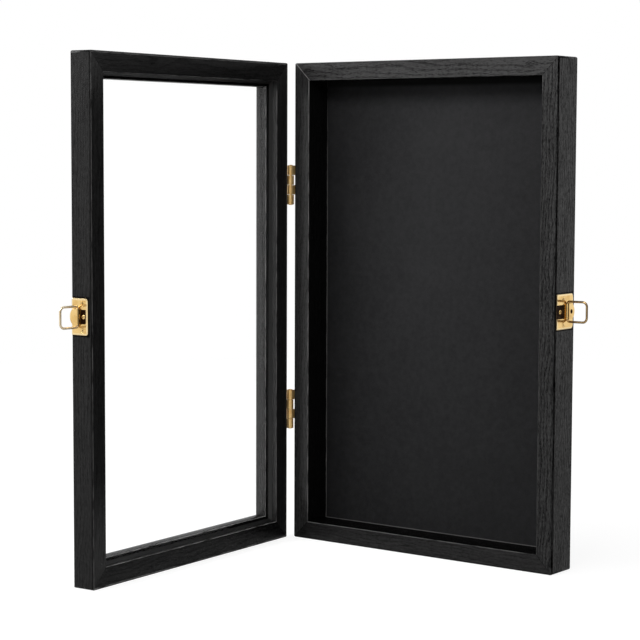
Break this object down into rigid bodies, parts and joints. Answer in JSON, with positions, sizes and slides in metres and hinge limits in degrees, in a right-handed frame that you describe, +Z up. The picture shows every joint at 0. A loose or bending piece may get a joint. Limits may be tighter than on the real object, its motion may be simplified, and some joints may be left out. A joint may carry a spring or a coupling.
{
  "type": "shadow box display case",
  "caption": "Wall-hung shadow box display case: a shallow lined wooden box with a hinged, glazed, mitred door and a pair of locking-ring plates at the closing side.",
  "frame": {"origin": "centre of the underside of the box, midway in the box's own width and depth", "axes": "+X to the right as seen from the front, +Y towards the wall, +Z up; the door is stored open"},
  "size_m": [0.3317, 0.3456, 0.45],
  "materials": {
    "black_wood": "satin black stain over open grain",
    "hardwood": "sawn",
    "felt": "napped",
    "hardboard": "smooth",
    "glass": "clear",
    "sealant": "satin",
    "brass": "polished",
    "steel": "bright zinc",
    "black_steel": "black oxide"
  },
  "bodies": {
    "box": {"back_panel": "hardboard", "back_panel_screws": "black_steel", "box_bottom_rail": "black_wood", "box_corner_nails": "steel", "box_latch_centre_screw": "brass", "box_latch_plate": "brass", "box_latch_screws": "brass", "box_left_stile": "black_wood", "box_right_stile": "black_wood", "box_top_rail": "black_wood", "display_liner": "felt", "hanger_nails": "steel", "lower_hinge_box_leaf": "brass", "lower_hinge_box_screws": "brass", "lower_hinge_pin": "brass", "sawtooth_hanger": "steel", "upper_hinge_box_leaf": "brass", "upper_hinge_box_screws": "brass", "upper_hinge_pin": "brass"},
    "door": {"door_bottom_rail": "black_wood", "door_corner_splines": "hardwood", "door_free_stile": "black_wood", "door_hinge_stile": "black_wood", "door_latch_centre_screw": "brass", "door_latch_plate": "brass", "door_latch_screws": "brass", "door_top_rail": "black_wood", "glass_pane": "glass", "glass_sealant_bead": "sealant", "lower_hinge_door_leaf": "brass", "lower_hinge_door_screws": "brass", "upper_hinge_door_leaf": "brass", "upper_hinge_door_screws": "brass"},
    "box_ring": {"box_latch_ring": "brass"},
    "door_ring": {"door_latch_ring": "brass"}
  },
  "joints": [
    {"name": "door_hinge", "type": "hinge", "parent": "box", "child": "door", "pos_m": [-0.1466, -0.0163, 0.2295], "axis": [0, 0, -1], "range_deg": [-87, 93]},
    {"name": "box_ring_pivot", "type": "hinge", "parent": "box", "child": "box_ring", "pos_m": [0.14406, 0.001, 0.23], "axis": [0, 0, 1], "range_deg": [-55, 45]},
    {"name": "door_ring_pivot", "type": "hinge", "parent": "door", "child": "door_ring", "pos_m": [-0.14457, -0.30725, 0.23], "axis": [0, 0, -1], "range_deg": [-46, 66]}
  ]
}
